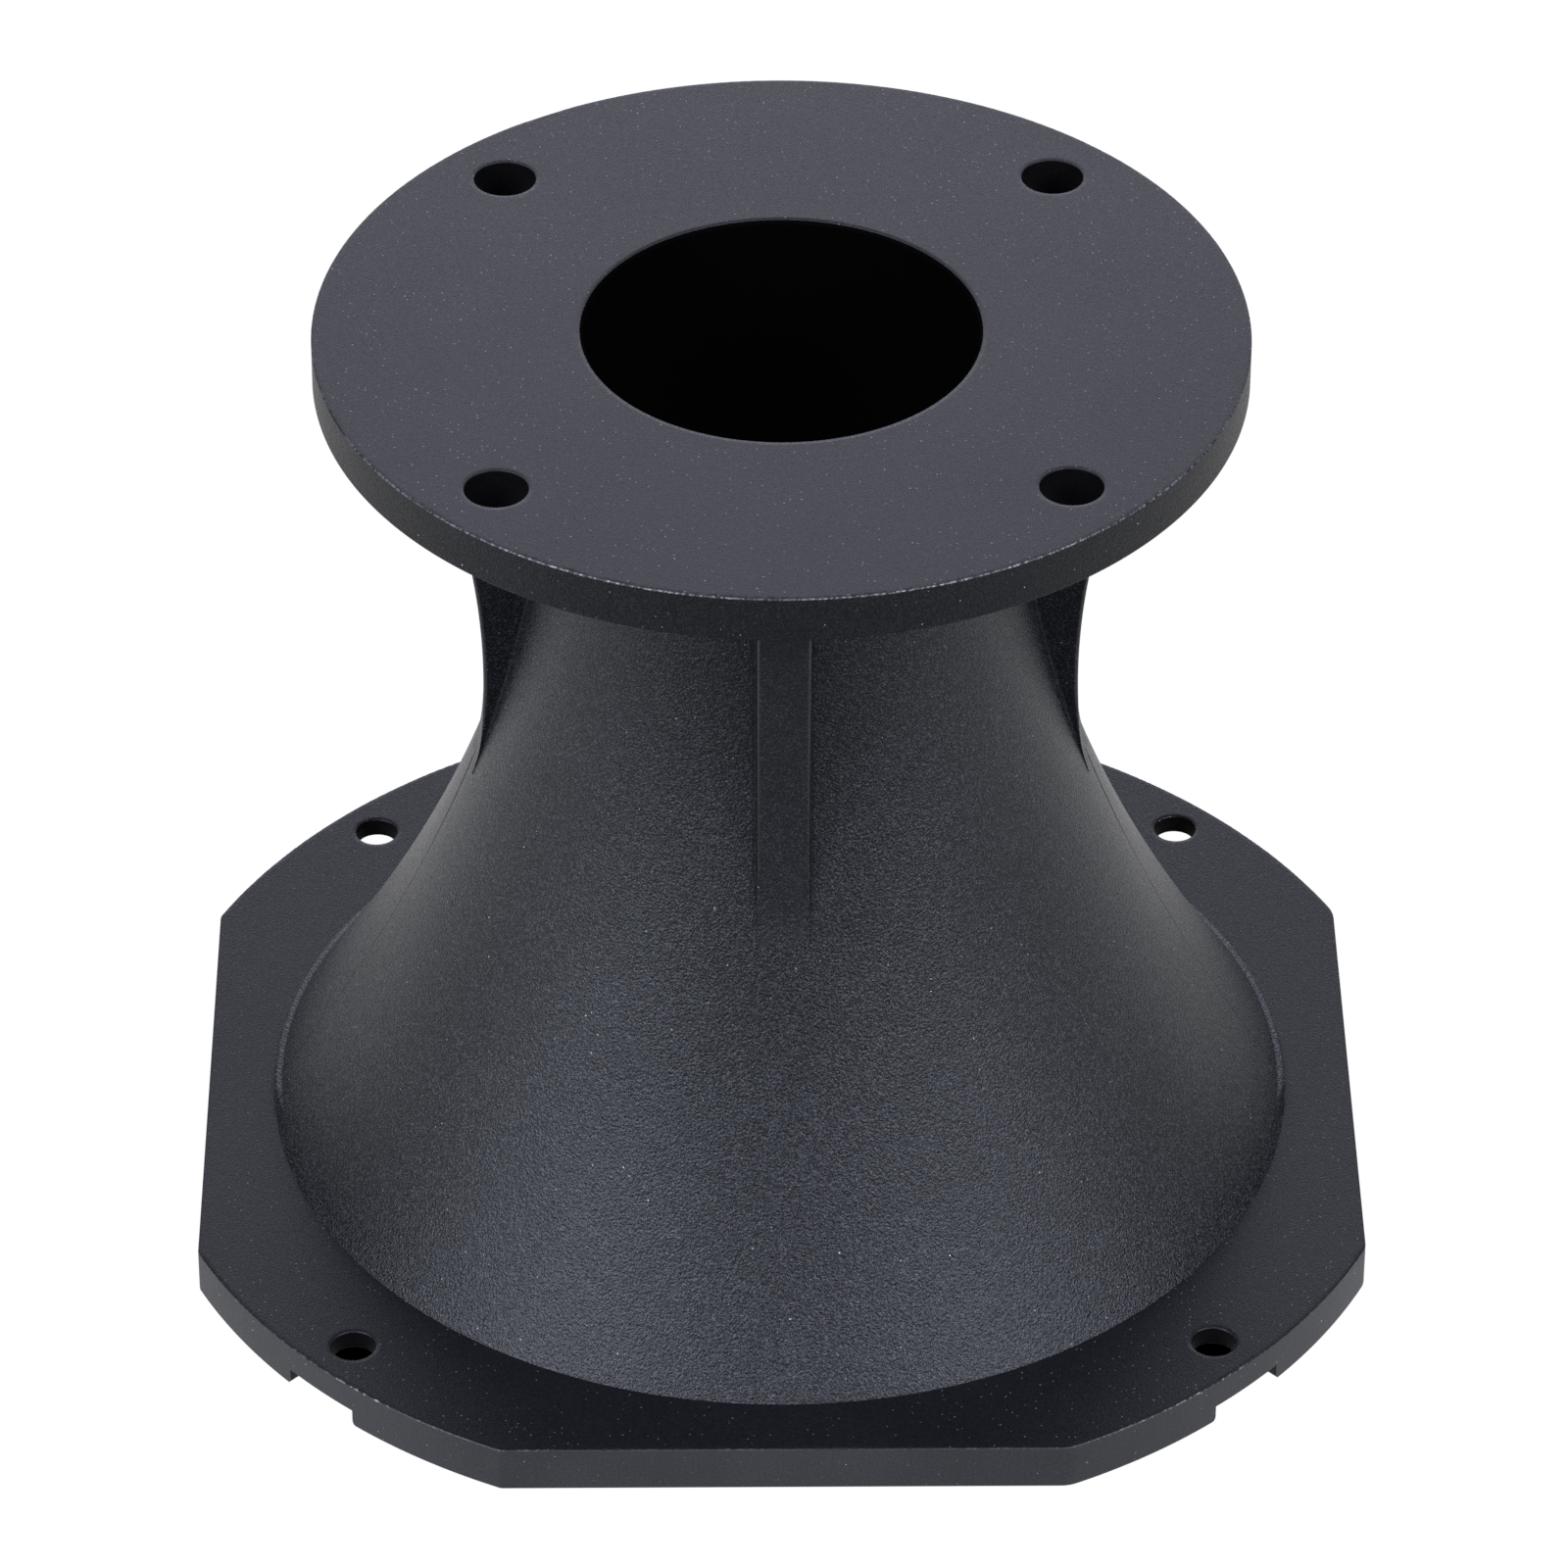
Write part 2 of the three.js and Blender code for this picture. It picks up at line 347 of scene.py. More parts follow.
def bell_half(side):
    """One half of the bell, closed at the parting plane. Side is -1 in front, 1 behind."""
    near = [0.0, 0.0015, 0.003, 0.0048, 0.007, 0.0105, 0.015, 0.021]
    middle = np.linspace(0.03, math.pi - 0.03, 180).tolist()
    angles = np.array(near + middle + [math.pi - a for a in reversed(near)])
    turn = side * angles
    flare_heights = np.linspace(11, UNDERSIDE - 5, 100).tolist()
    heights = np.array(FOOT_HEIGHTS + flare_heights + [UNDERSIDE - drop for drop in NECK_DROPS])
    bead_z, bead_r = zip(*FOOT_BEAD)
    proud = np.interp(heights, bead_z, bead_r) - outer_r(heights)
    proud = np.where(heights > bead_z[-1], 0.0, proud)
    # The bead is on the rear half, and dies away just in front of the parting plane.
    from_plane = np.minimum(angles, math.pi - angles)
    bead = 1.0 if side > 0 else 1 - smooth(0.03, 0.13, from_plane)
    bead = np.broadcast_to(bead, len(angles))
    arc_mm = np.outer(outer_r(heights), from_plane)
    depth = 0.015 + 0.17 * smooth(42, 60, heights)
    groove = np.exp(-((arc_mm / 0.16) ** 2)) * depth[:, None]
    step = 0.02 * np.exp(-arc_mm / 1.2) * (1 if side > 0 else 0)
    # A soft fillet where the neck runs into the underside of the flange.
    up_fillet = np.clip((heights - UNDERSIDE + NECK_FILLET) / NECK_FILLET, 0, 1)
    neck = NECK_FILLET * (1 - np.sqrt(1 - up_fillet**2))
    outside = outer_r(heights)[:, None] + proud[:, None] * bead[None, :] - groove + step + neck[:, None]
    skin = Skin()
    outer_rows = [skin.loop(ring(radii, turn, z)) for z, radii in zip(heights, outside)]
    inner_rows = [skin.loop(ring(r, turn, z)) for z, r in zip(heights, inner_r(heights))]
    skin.tube(outer_rows, closed=False)
    skin.tube(inner_rows, closed=False)
    skin.wall(outer_rows[0], inner_rows[0], closed=False)
    skin.wall(outer_rows[-1], inner_rows[-1], closed=False)
    for end in (0, -1):
        for low in range(len(heights) - 1):
            skin.faces.append((outer_rows[low][end], outer_rows[low + 1][end],
                               inner_rows[low + 1][end], inner_rows[low][end]))
    return skin.mesh("bell_casting_front" if side < 0 else "bell_casting_rear")


# ---------- ribs ----------

def rib_section(z):
    """Half of a level cut through a rib: (out, across) from inside the bell to the middle of the edge."""
    bell = outer_r(z)
    # Towards its foot the rib sinks softly into the bell.
    lead = rib_r(z) - bell
    proud = (lead + math.sqrt(lead**2 + 0.4)) / 2 - 0.17 * float(smooth(72, 61, z))
    edge = bell + proud
    fillet = float(np.clip(proud * 0.4, 0.05, 0.6))
    corner = float(np.clip(proud * 0.3, 0.04, 0.7))
    bell_reach = math.asin((RIB_HALF + fillet) / (bell + fillet))
    centre = math.sqrt((bell + fillet) ** 2 - (RIB_HALF + fillet) ** 2)
    rise = bell * math.sin(bell_reach) - RIB_HALF - fillet
    start = math.atan2(rise, bell * math.cos(bell_reach) - centre)
    sweep = np.linspace(start, -math.pi / 2, 9)
    points = [(bell * math.cos(bell_reach) - 1.2, bell * math.sin(bell_reach) * 0.9)]
    for a in sweep:
        points.append((centre + fillet * math.cos(a), RIB_HALF + fillet + fillet * math.sin(a)))
    side_start = points[-1][0]
    side_end = edge - corner
    for share in (0.25, 0.5, 0.75):
        points.append((side_start + (side_end - side_start) * share, RIB_HALF))
    for a in np.linspace(math.pi / 2, 0, 7):
        points.append((side_end + corner * math.cos(a), RIB_HALF - corner + corner * math.sin(a)))
    for across in (0.6, 0.25):
        points.append((edge, (RIB_HALF - corner) * across))
    return points


def rib(side, azimuth):
    foot_heights = np.linspace(RIB_FOOT_Z, 70, 40)
    edge_heights = np.linspace(70.6, UNDERSIDE - 2.4, 70)
    top_heights = UNDERSIDE - np.array([1.9, 1.4, 1.0, 0.6, 0.3, 0.0])
    heights = np.concatenate([foot_heights, edge_heights, top_heights])
    skin = Skin()
    rows = []
    c, s = math.cos(azimuth), math.sin(azimuth)
    for z in heights:
        half = rib_section(z)
        section = half + [(x, -y) for x, y in reversed(half)]
        # A fillet of its own carries each rib into the flange.
        rise = max(0.0, z - (UNDERSIDE - RIB_FILLET)) / RIB_FILLET
        spread = RIB_FILLET * (1 - math.sqrt(max(0.0, 1 - rise**2)))
        grown = []
        for x, y in section:
            out = x + (spread if x > outer_r(z) + 4 else 0.0)
            across = y + math.copysign(spread, y) * smooth(RIB_HALF - 1, RIB_HALF, abs(y))
            grown.append((out * c - across * s, out * s + across * c, z))
        rows.append(skin.loop(grown))
    skin.tube(rows)
    skin.faces.append(tuple(rows[0]))
    skin.faces.append(tuple(rows[-1]))
    return skin.mesh("rib_casting_" + side)


# ---------- the mouth flange ----------

def mouth_outline(pitch=0.32):
    """(points, outward normals) round the plate: four flats, four arcs and eight hand-dressed corners."""
    points = []
    normals = []

    def bend(cx, cy, radius, start, end, steps, turned):
        for i in range(steps):
            a = start + (end - start) * i / steps
            x, y = cx + radius * math.cos(a), cy + radius * math.sin(a)
            points.append((x * turned[0] - y * turned[1], x * turned[1] + y * turned[0]))
            nx, ny = math.cos(a), math.sin(a)
            normals.append((nx * turned[0] - ny * turned[1], nx * turned[1] + ny * turned[0]))

    def touch(fillet):
        across = PLATE_HALF - fillet
        along = math.sqrt((PLATE_R - fillet) ** 2 - across**2)
        return across, along, math.atan2(along, across)

    for quarter, (first, last) in enumerate(FILLETS):
        turned = QUARTER_TURNS[quarter]
        after = FILLETS[(quarter + 1) % 4][0]
        across, along, reach = touch(first)
        bend(across, along, first, 0, reach, 12, turned)
        across_last, along_last, reach_last = touch(last)
        far = math.pi / 2 - reach_last
        bend(0, 0, PLATE_R, reach, far, max(8, int(PLATE_R * (far - reach) / pitch)), turned)
        bend(along_last, across_last, last, far, math.pi / 2, 12, turned)
        along_next = touch(after)[1]
        steps = int((along_last + along_next) / pitch)
        for i in range(steps):
            x = along_last - (along_last + along_next) * i / steps
            points.append((x * turned[0] - PLATE_HALF * turned[1], x * turned[1] + PLATE_HALF * turned[0]))
            normals.append((-turned[1], turned[0]))
    return np.array(points), np.array(normals)


def edge_loops(skin, points, normals, profile, worn_rows=0, wear=None, chatter=None):
    """The edge of the plate, up a profile of (inset, height). Its last worn rows are rubbed and uneven."""
    loops = []
    for i, (inset, z) in enumerate(profile):
        row = points - normals * inset
        height = np.full(len(points), z)
        share = 0.0
        if i >= len(profile) - worn_rows:
            share = math.sin(math.pi * (i - len(profile) + worn_rows) / (worn_rows - 1))
            row = row - normals * (share * np.abs(chatter))[:, None]
            height = height - share * np.abs(np.roll(chatter, 5)) * 0.7
        worn = share * wear if wear is not None else 0.0
        loops.append(skin.loop(np.column_stack([row, height]), worn))
    skin.tube(loops)
    return loops


def mouth_flange():
    points, normals = mouth_outline()
    count = len(points)
    skin = Skin()
    chatter = random.normal(size=count) * 0.018 + wander(count, 240, 0.2) * 0.018
    x, y = points[:, 0], points[:, 1]
    # Rubbed most along the two front corners' arcs, a little along the front, hardly elsewhere.
    arcs = smooth(40, 52, np.abs(x)) * smooth(-52, -66, y) * smooth(76, 70, np.abs(x))
    front = smooth(-70, -77, y)
    scuff = smooth(0.1, 1.1, wander(count, 700, 0.0) + 0.3)
    scuff = scuff * smooth(-1.2, 0.8, wander(count, 60, 0.2))
    wear = (0.05 + 0.08 * front + 0.7 * arcs) * scuff
    top_edge = rounded(0, PLATE_TOP, 0.1, 0.22)[EDGE_STEPS:]
    profile = [(0.0, RELIEF_DEPTH), (0.0, 4.4)] + top_edge
    loops = edge_loops(skin, points, normals, profile, EDGE_STEPS, wear, chatter)
    inset = np.column_stack([points - normals * 0.8, np.full(count, PLATE_TOP)])
    loops.append(skin.loop(inset))
    skin.wall(loops[-2], loops[-1])
    bore = [skin.loop(circle(inner_r(z), z, 288)) for z in np.linspace(RELIEF_DEPTH, PLATE_TOP, 7)]
    skin.tube(bore)
    bottoms = []
    tops = []
    for sx, sy in CORNERS:
        cx, cy = sx * SCREW_OFFSET, sy * SCREW_OFFSET
        floor = RELIEF_DEPTH + SPOT_DEPTH
        steps = [
            (SPOT_R + 0.1, RELIEF_DEPTH),
            (SPOT_R, RELIEF_DEPTH + 0.1),
            (SPOT_R, floor),
            (SCREW_HOLE_R + 0.15, floor),
            (SCREW_HOLE_R, floor + 0.15),
            (SCREW_HOLE_R, PLATE_TOP - 0.3),
            (SCREW_HOLE_R + 0.06, PLATE_TOP - 0.14),
            (SCREW_HOLE_R + 0.22, PLATE_TOP),
            (SCREW_HOLE_R + 0.8, PLATE_TOP),
        ]
        rings = [skin.loop(circle(r, z, 64, cx, cy)) for r, z in steps]
        skin.tube(rings)
        bottoms.append(rings[0])
        tops.append(rings[-1])
    skin.flat(loops[0], bore[0], *bottoms)
    skin.flat(loops[-1], bore[-1], *tops)
    return skin.mesh("mouth_flange_plate")


def cut(obj, cutter):
    """Takes the cutter out of the object's mesh for good."""
    step = obj.modifiers.new("cut", "BOOLEAN")
    step.operation = "DIFFERENCE"
    step.solver = "EXACT"
    step.object = cutter
    whole = bpy.context.evaluated_depsgraph_get()
    done = bpy.data.meshes.new_from_object(obj.evaluated_get(whole))
    obj.modifiers.clear()
    obj.data = done


def loose(skin, name):
    obj = bpy.data.objects.new(name, skin.mesh(name))
    bpy.context.scene.collection.objects.link(obj)
    return obj


def relief_bar(turned):
    """A bar across the whole flange that leaves the reliefs under two opposite screw holes."""
    skin = Skin()
    section = [(RELIEF_HALF + RELIEF_ROUND, -2.0)]
    for a in np.linspace(0, math.pi / 2, 8):
        x = RELIEF_HALF + RELIEF_ROUND * (1 - math.sin(a))
        section.append((x, RELIEF_ROUND * (1 - math.cos(a))))
    section.append((RELIEF_HALF, 5.0))
    section = section + [(-x, z) for x, z in reversed(section)]
    rows = []
    for along in (-120.0, 120.0):
        c, s = math.cos(turned), math.sin(turned)
        rows.append(skin.loop([(along * c - x * s, along * s + x * c, z) for x, z in section]))
    skin.wall(rows[0], rows[1])
    skin.faces.append(tuple(rows[0]))
    skin.faces.append(tuple(rows[1]))
    return loose(skin, "cutter")


def seat_pads():
    """The four seating pads, cut from one slab under the flange: {side: mesh}."""
    points, normals = mouth_outline(0.6)
    skin = Skin()
    bottom_edge = rounded(0, RELIEF_DEPTH, 0.35, 0.1)[:EDGE_STEPS]
    loops = edge_loops(skin, points, normals, bottom_edge + [(0.0, RELIEF_DEPTH)])
    lip = inner_r(0) + LIP_WIDTH
    inner = [skin.loop(circle(lip, z, 288)) for z in (0.0, RELIEF_DEPTH)]
    skin.tube(inner)
    skin.flat(loops[0], inner[0])
    skin.flat(loops[-1], inner[-1])
    slab = loose(skin, "seat_slab")
    for turned in (math.pi / 4, 3 * math.pi / 4):
        bar = relief_bar(turned)
        cut(slab, bar)
        bpy.data.objects.remove(bar)
    whole = bmesh.new()
    whole.from_mesh(slab.data)
    bpy.data.objects.remove(slab)
    pads = {}
    for side, azimuth in SIDES.items():
        part = whole.copy()
        out = Vector((math.cos(azimuth), math.sin(azimuth), 0))
        away = [v for v in part.verts if v.co.normalized().dot(out) < math.sqrt(0.5)]
        bmesh.ops.delete(part, geom=away, context="VERTS")
        mesh = bpy.data.meshes.new("seat_pad_casting_" + side)
        part.to_mesh(mesh)
        part.free()
        pads[side] = tidy(mesh)
    whole.free()
    return pads


def mouth_lip():
    skin = Skin()
    outer = inner_r(0) + LIP_WIDTH
    steps = [(outer, RELIEF_DEPTH), (outer, 0.0)]
    for a in np.linspace(0, math.pi / 2, 6):
        steps.append((inner_r(0) + LIP_ROUND * (1 - math.sin(a)), LIP_ROUND * (1 - math.cos(a))))
    steps += [(inner_r(z), z) for z in (1.2, 1.9, RELIEF_DEPTH)]
    loops = [skin.loop(circle(r, z, 288)) for r, z in steps]
    skin.tube(loops + loops[:1])
    return skin.mesh("mouth_lip_casting")


# ---------- materials ----------

METAL = (0.40, 0.41, 0.46, 1.0)
SHEEN = (0.82, 0.86, 1.0, 1.0)


def link_all(tree, *pairs):
    for out, into in pairs:
        tree.links.new(out, into)


def math_node(tree, operation, a, b=None, clamp=False):
    node = tree.nodes.new("ShaderNodeMath")
    node.operation = operation
    node.use_clamp = clamp
    for socket, value in zip(node.inputs, (a, b)):
        if value is None:
            continue
        if isinstance(value, (int, float)):
            socket.default_value = value
        else:
            tree.links.new(value, socket)
    return node.outputs[0]


def ramp(tree, value, low, high, from_value=0.0, to_value=1.0):
    node = tree.nodes.new("ShaderNodeMapRange")
    node.interpolation_type = "SMOOTHSTEP"
    node.inputs["From Min"].default_value = low
    node.inputs["From Max"].default_value = high
    node.inputs["To Min"].default_value = from_value
    node.inputs["To Max"].default_value = to_value
    tree.links.new(value, node.inputs["Value"])
    return node.outputs["Result"]


def noise(tree, place, scale, detail, roughness):
    node = tree.nodes.new("ShaderNodeTexNoise")
    node.inputs["Scale"].default_value = scale
    node.inputs["Detail"].default_value = detail
    node.inputs["Roughness"].default_value = roughness
    tree.links.new(place, node.inputs["Vector"])
    return node.outputs["Fac"]


def mix_colour(tree, share, a, b):
    node = tree.nodes.new("ShaderNodeMix")
    node.data_type = "RGBA"
    for name, value in (("Factor", share), ("A", a), ("B", b)):
        if isinstance(value, (tuple, float)):
            node.inputs[name].default_value = value
        else:
            tree.links.new(value, node.inputs[name])
    return node.outputs["Result"]


def voronoi(tree, place, per_mm, feature="F1"):
    node = tree.nodes.new("ShaderNodeTexVoronoi")
    node.feature = feature
    node.inputs["Scale"].default_value = per_mm
    tree.links.new(place, node.inputs["Vector"])
    return node


def randoms(tree, cells):
    """Three random values from 0 to 1 that change from cell to cell."""
    node = tree.nodes.new("ShaderNodeSeparateColor")
    tree.links.new(cells.outputs["Color"], node.inputs["Color"])
    return node.outputs


def place_in_mm(tree):
    where = tree.nodes.new("ShaderNodeTexCoord")
    scaled = tree.nodes.new("ShaderNodeVectorMath")
    scaled.operation = "SCALE"
    scaled.inputs["Scale"].default_value = 1 / MM
    tree.links.new(where.outputs["Object"], scaled.inputs[0])
    return scaled.outputs[0]


def height_of(tree, place):
    node = tree.nodes.new("ShaderNodeSeparateXYZ")
    tree.links.new(place, node.inputs[0])
    return node.outputs["Z"]


def pebbles(tree, place, lumps, grain, grain_height, calm):
    """The normal over rounded pebbles of coat, with finer lumps on them."""
    cells = voronoi(tree, place, 1.0 / grain, "SMOOTH_F1")
    cells.inputs["Smoothness"].default_value = 0.5
    pebble = math_node(tree, "SUBTRACT", 1.0, cells.outputs["Distance"])
    height = math_node(tree, "ADD", math_node(tree, "MULTIPLY", pebble, 0.5), lumps)
    if calm:
        left = ramp(tree, height_of(tree, place), calm[0], calm[1], 1.0, 0.25)
        height = math_node(tree, "MULTIPLY", height, left)
    bump = tree.nodes.new("ShaderNodeBump")
    bump.inputs["Strength"].default_value = 1.0
    bump.inputs["Distance"].default_value = grain_height * MM
    tree.links.new(height, bump.inputs["Height"])
    return bump.outputs["Normal"]


def tone(tree, place, lumps, sparkle, paler_below):
    """How many times its own colour the coat is, from place to place, with painted glints and painted shade
    where asked.
    """
    # Thin patches and handling marks vary it over centimetres.
    patches = ramp(tree, noise(tree, place, 0.045, 3.0, 0.55), 0.3, 0.7, 0.88, 1.12)
    fine = ramp(tree, lumps, 0.3, 0.7, 0.8, 1.2)
    times = math_node(tree, "MULTIPLY", patches, fine)
    # Painted shade, where asked: the coat is made darker above the first height than below it.
    if paler_below:
        low, high, paler = paler_below
        times = math_node(tree, "MULTIPLY", times, ramp(tree, height_of(tree, place), low, high, paler, 1.0))
    if sparkle:
        # Painted glints: some grains of powder are made many times brighter in colour, for the light they
        # catch.
        painted_glint = math_node(tree, "POWER", randoms(tree, voronoi(tree, place, 6.0))[0], 4.0)
        grains = math_node(tree, "ADD", math_node(tree, "MULTIPLY", painted_glint, sparkle), 0.5)
        times = math_node(tree, "MULTIPLY", times, grains)
    return times


def flakes(tree, place, share):
    """Bright flakes of metal in the coat, most of them faint."""
    cells = voronoi(tree, place, 1.25)
    chosen = randoms(tree, cells)
    rare = math_node(tree, "GREATER_THAN", chosen[0], 1.0 - share)
    size = math_node(tree, "ADD", math_node(tree, "MULTIPLY", chosen[1], 0.08), 0.08)
    near = math_node(tree, "LESS_THAN", cells.outputs["Distance"], size)
    glow = math_node(tree, "ADD", math_node(tree, "POWER", chosen[2], 5.0), 0.16)
    return math_node(tree, "MULTIPLY", math_node(tree, "MULTIPLY", rare, near), glow, clamp=True)


def rubbed(tree, place):
    """How bare the metal is where an edge was rubbed."""
    worn = tree.nodes.new("ShaderNodeAttribute")
    worn.attribute_name = "wear"
    broken = ramp(tree, noise(tree, place, 3.0, 3.0, 0.7), 0.36, 0.60)
    return math_node(tree, "MULTIPLY", worn.outputs["Fac"], broken, clamp=True)


def powder_coat(name, colour, roughness, grain, grain_height, specks, specular,
                sparkle=0.0, calm=None, paler_below=None):
    """Black textured powder coat.

    Grain is the rough spacing of its bumps and grain_height their height, in millimetres.
    Specks is the share of places that have a flake, and sparkle how much painted glint is put into the
    colour of some grains.
    Calm is two heights on the part: up from the first to the second, the bumps die away.
    Paler_below is two heights and how many times paler the coat is below them than above.
    """
    material = bpy.data.materials.new(name)
    material.use_nodes = True
    tree = material.node_tree
    shader = tree.nodes["Principled BSDF"]
    shader.inputs["Specular IOR Level"].default_value = specular
    shader.inputs["Specular Tint"].default_value = SHEEN
    place = place_in_mm(tree)
    lumps = noise(tree, place, 0.9 / grain, 4.0, 0.62)

    shade = tree.nodes.new("ShaderNodeVectorMath")
    shade.operation = "SCALE"
    shade.inputs[0].default_value = colour
    tree.links.new(tone(tree, place, lumps, sparkle, paler_below), shade.inputs["Scale"])

    speck = flakes(tree, place, specks)
    bare = rubbed(tree, place)
    metal = math_node(tree, "MAXIMUM", speck, bare)
    rough = ramp(tree, lumps, 0.25, 0.75, roughness - 0.07, roughness + 0.07)
    rough = math_node(tree, "SUBTRACT", rough, math_node(tree, "MULTIPLY", metal, 0.15))
    metallic = math_node(tree, "ADD", bare, math_node(tree, "MULTIPLY", speck, 0.4), clamp=True)
    link_all(
        tree,
        (pebbles(tree, place, lumps, grain, grain_height, calm), shader.inputs["Normal"]),
        (mix_colour(tree, metal, shade.outputs[0], METAL), shader.inputs["Base Color"]),
        (rough, shader.inputs["Roughness"]),
        (metallic, shader.inputs["Metallic"]),
    )
    return material


# Name, colour, roughness, grain, grain height, specks, specular.
FACE_COAT = powder_coat("face_coat", (0.0080, 0.0080, 0.0104), 0.50, 0.32, 0.014, 0.5, 0.41)
PLATE_COAT = powder_coat("plate_coat", (0.0038, 0.0039, 0.0054), 0.47, 0.32, 0.032, 0.5, 0.29)
THROAT_RIM_COAT = powder_coat(
    "throat_rim_coat", (0.0040, 0.0041, 0.0050), 0.44, 0.34, 0.110, 0.15, 0.30, sparkle=3.0)
# Painted light: the outer rim of the mouth flange and pads is a much paler copy of the plate's coat, for
# light thrown up onto it from the floor close by.
PAINTED_LIGHT_MOUTH_RIM_COAT = powder_coat(
    "mouth_rim_painted_light_coat", (0.0230, 0.0235, 0.0270), 0.46, 0.32, 0.050, 0.3, 0.5)
BELL_COAT = powder_coat(
    "bell_coat", (0.0047, 0.0051, 0.0066), 0.34, 0.34, 0.130, 0.12, 0.39, sparkle=8.0)
# Painted shade: the rib's sides are a darker copy of the bell's coat, for the shade between rib and bell.
PAINTED_SHADE_RIB_COAT = powder_coat(
    "rib_painted_shade_coat", (0.0018, 0.0020, 0.0026), 0.46, 0.34, 0.090, 0.1, 0.22, sparkle=10.0)
# Painted light: the rib's outer face is a paler copy of the coat, a painted highlight along each rib.
PAINTED_LIGHT_RIB_EDGE_COAT = powder_coat(
    "rib_edge_painted_light_coat", (0.0092, 0.0101, 0.0130), 0.40, 0.34, 0.130, 0.12, 0.40, sparkle=2.5, calm=(68, 88))
# Painted shade: the walls of the bolt and screw holes are a darker copy of the coat, for the shade inside
# them.
PAINTED_SHADE_HOLE_COAT = powder_coat("hole_painted_shade_coat", (0.0016, 0.0016, 0.0019), 0.62, 0.34, 0.060, 0.0, 0.05)
# Painted shade: the inside of the horn is painted near black for the shade in the air passage, 30 times
# darker up at the throat than near the mouth.
PAINTED_SHADE_INSIDE_COAT = powder_coat(
    "inside_painted_shade_coat", (0.0006, 0.0006, 0.0007), 0.65, 0.34, 0.060, 0.0, 0.01, paler_below=(20, 95, 30.0))
UNDER_COAT = powder_coat("under_coat", (0.0070, 0.0072, 0.0085), 0.52, 0.34, 0.020, 0.4, 0.3)

# ---------- the pieces ----------

PAINTED_SHADE_INSIDE = (PAINTED_SHADE_INSIDE_COAT, air_passage)
piece("throat_flange_casting", throat_flange(), FACE_COAT, "flange", "throat_flange",
      more=[PAINTED_SHADE_INSIDE, (THROAT_RIM_COAT, throat_rim), (PAINTED_SHADE_HOLE_COAT, bolt_hole)])
piece("bell_casting_front", bell_half(-1), BELL_COAT, "bell", "bell_front", more=[PAINTED_SHADE_INSIDE])
piece("bell_casting_rear", bell_half(1), BELL_COAT, "bell", "bell_rear", more=[PAINTED_SHADE_INSIDE])
piece("mouth_flange_plate", mouth_flange(), PLATE_COAT, "flange", "mouth_flange",
      more=[PAINTED_SHADE_INSIDE, (PAINTED_LIGHT_MOUTH_RIM_COAT, mouth_rim), (PAINTED_SHADE_HOLE_COAT, screw_hole)])
piece("mouth_lip_casting", mouth_lip(), UNDER_COAT, "underside", "mouth_lip", more=[PAINTED_SHADE_INSIDE])
PADS = seat_pads()
for side, azimuth in SIDES.items():
    piece("rib_casting_" + side, rib(side, azimuth), PAINTED_SHADE_RIB_COAT, "rib", "rib_" + side,
          more=[(PAINTED_LIGHT_RIB_EDGE_COAT, rib_edge)])
    piece("seat_pad_casting_" + side, PADS[side], UNDER_COAT, "underside", "seat_pad_" + side,
          more=[(PAINTED_LIGHT_MOUTH_RIM_COAT, mouth_rim)])

# ---------- floor, light and camera, in metres ----------

FLOOR_HALF = 9.0
# The painted shadow under the part starts and is whole at these millimetres inside the plate's arcs and its
# flats.
PAINTED_SHADOW_IN_ARC = (2.8, 4.3)
PAINTED_SHADOW_IN_FLAT = (0.5, 1.5)


